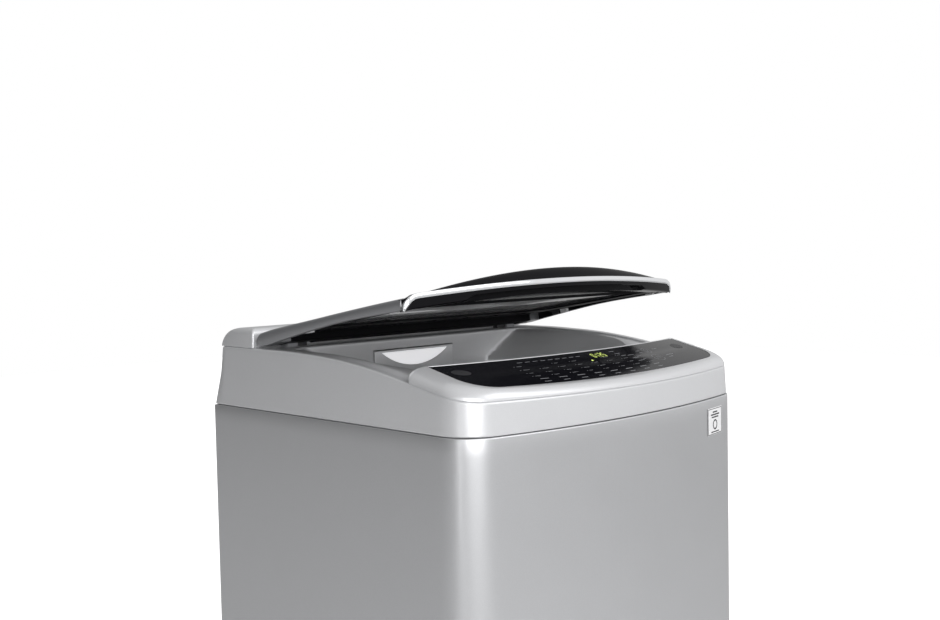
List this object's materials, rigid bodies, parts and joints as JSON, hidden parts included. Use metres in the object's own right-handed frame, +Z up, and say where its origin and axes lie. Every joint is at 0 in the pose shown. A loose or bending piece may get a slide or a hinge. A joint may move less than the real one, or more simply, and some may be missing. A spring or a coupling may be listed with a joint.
{
  "type": "top load washing machine",
  "caption": "Free-standing top load washing machine with a bowed front, a raised touch console, a soft-closing glass lid, a rear detergent drawer and a hung tub with a perforated spin basket.",
  "frame": {"origin": "on the floor under the middle of the plan, hose spigots included", "axes": "+Z up, the console and the bowed front face -Y, +X to the right of someone standing in front of it"},
  "size_m": [0.59, 0.59, 1.0418],
  "materials": {
    "silver_paint": "satin metallic silver enamel",
    "zinc_sheet": "zinc coated sheet",
    "zinc_steel": "zinc plated",
    "black_plastic": "fine moulded grain",
    "bright_steel": "ground steel",
    "white_plastic": "satin moulding",
    "silver_plastic": "metallic silver moulding, satin gloss",
    "black_glass": "polished black touch panel",
    "circuit_board": "solder mask",
    "badge_foil": "plain foil plate",
    "grey_plastic": "satin moulding",
    "hose_rubber": "matt rubber",
    "foot_rubber": "matt rubber",
    "grip_white": "white insert",
    "blue_plastic": "satin",
    "lid_grey": "metallic grey moulding",
    "lid_black": "satin black",
    "smoked_glass": "toughened, lightly smoked",
    "gloss_black": "piano black",
    "chrome_trim": "bright plated",
    "bumper_rubber": "soft pad",
    "tub_plastic": "glass filled moulding",
    "cast_aluminium": "as cast",
    "copper_winding": "enamelled copper wire on a laminated core",
    "spring_steel": "oiled wire",
    "pump_plastic": "glass filled moulding",
    "basket_steel": "bright rolled stainless steel",
    "ring_plastic": "satin moulding"
  },
  "bodies": {
    "washer": {"cabinet": "silver_paint", "rear_panel": "zinc_sheet", "rear_panel_screws": "zinc_steel", "base_frame": "black_plastic", "foot_nuts": "zinc_steel", "suspension_brackets": "zinc_sheet", "suspension_rods": "bright_steel", "rod_caps": "white_plastic", "spring_cups": "black_plastic", "top_cover": "silver_plastic", "rear_cap": "silver_plastic", "console_bezel": "silver_plastic", "control_glass": "black_glass", "control_housing": "black_plastic", "display_board": "circuit_board", "front_badge": "badge_foil", "dispenser_housing": "grey_plastic", "inlet_valves": "white_plastic", "fill_hoses": "hose_rubber", "power_case": "white_plastic", "cord_gland": "black_plastic", "drain_outlet": "grey_plastic", "lid_lock": "black_plastic", "hinge_brackets": "grey_plastic", "lid_dampers": "black_plastic"},
    "foot_front_left_leg": {"foot_front_left": "foot_rubber"},
    "foot_front_right_leg": {"foot_front_right": "foot_rubber"},
    "foot_rear_left_leg": {"foot_rear_left": "foot_rubber"},
    "foot_rear_right_leg": {"foot_rear_right": "foot_rubber"},
    "drawer": {"drawer_tray": "white_plastic", "drawer_front": "silver_plastic", "drawer_grip": "grip_white", "siphon_cap": "blue_plastic"},
    "lid": {"lid_frame": "lid_grey", "lid_inner_frame": "lid_black", "lid_glass": "smoked_glass", "lid_handle": "gloss_black", "lid_trim": "chrome_trim", "lid_hinge_pins": "bright_steel", "lid_bumpers": "bumper_rubber", "lid_striker": "black_plastic"},
    "tub": {"outer_tub": "tub_plastic", "tub_cover": "tub_plastic", "bearing_housing": "cast_aluminium", "tub_bearings": "bright_steel", "shaft_seal": "hose_rubber", "stator": "copper_winding", "spring_seats": "black_plastic", "suspension_springs": "spring_steel", "drain_pump": "pump_plastic", "drain_hose": "hose_rubber"},
    "spin_basket": {"basket": "basket_steel", "balance_ring": "ring_plastic", "basket_base": "tub_plastic", "basket_shaft": "bright_steel", "lint_filters": "white_plastic"},
    "agitator": {"drive_shaft": "bright_steel", "rotor": "zinc_sheet", "pulsator": "ring_plastic", "pulsator_cap": "basket_steel"}
  },
  "joints": [
    {"name": "foot_front_left_adjust", "type": "slide", "parent": "washer", "child": "foot_front_left_leg", "axis": [0, 0, -1], "range_m": [0, 0.012]},
    {"name": "foot_front_right_adjust", "type": "slide", "parent": "washer", "child": "foot_front_right_leg", "axis": [0, 0, -1], "range_m": [0, 0.012]},
    {"name": "foot_rear_left_adjust", "type": "slide", "parent": "washer", "child": "foot_rear_left_leg", "axis": [0, 0, -1], "range_m": [0, 0.012]},
    {"name": "foot_rear_right_adjust", "type": "slide", "parent": "washer", "child": "foot_rear_right_leg", "axis": [0, 0, -1], "range_m": [0, 0.012]},
    {"name": "drawer_slide", "type": "slide", "parent": "washer", "child": "drawer", "axis": [0, -1, 0], "range_m": [0, 0.09]},
    {"name": "lid_hinge", "type": "hinge", "parent": "washer", "child": "lid", "pos_m": [0, 0.171, 0.946], "axis": [-1, 0, 0], "range_deg": [-15, 82]},
    {"name": "tub_hang", "type": "slide", "parent": "washer", "child": "tub", "axis": [0, 0, 1], "range_m": [-0.02, 0], "stiffness_N_per_m": 12000, "springref_m": 0.035, "deforming": ["suspension_springs", "drain_hose"]},
    {"name": "basket_spin", "type": "hinge", "parent": "tub", "child": "spin_basket", "pos_m": [0, 0, 0.45], "axis": [0, 0, 1], "continuous": true},
    {"name": "agitator_spin", "type": "hinge", "parent": "tub", "child": "agitator", "pos_m": [0, 0, 0.25], "axis": [0, 0, 1], "continuous": true}
  ]
}
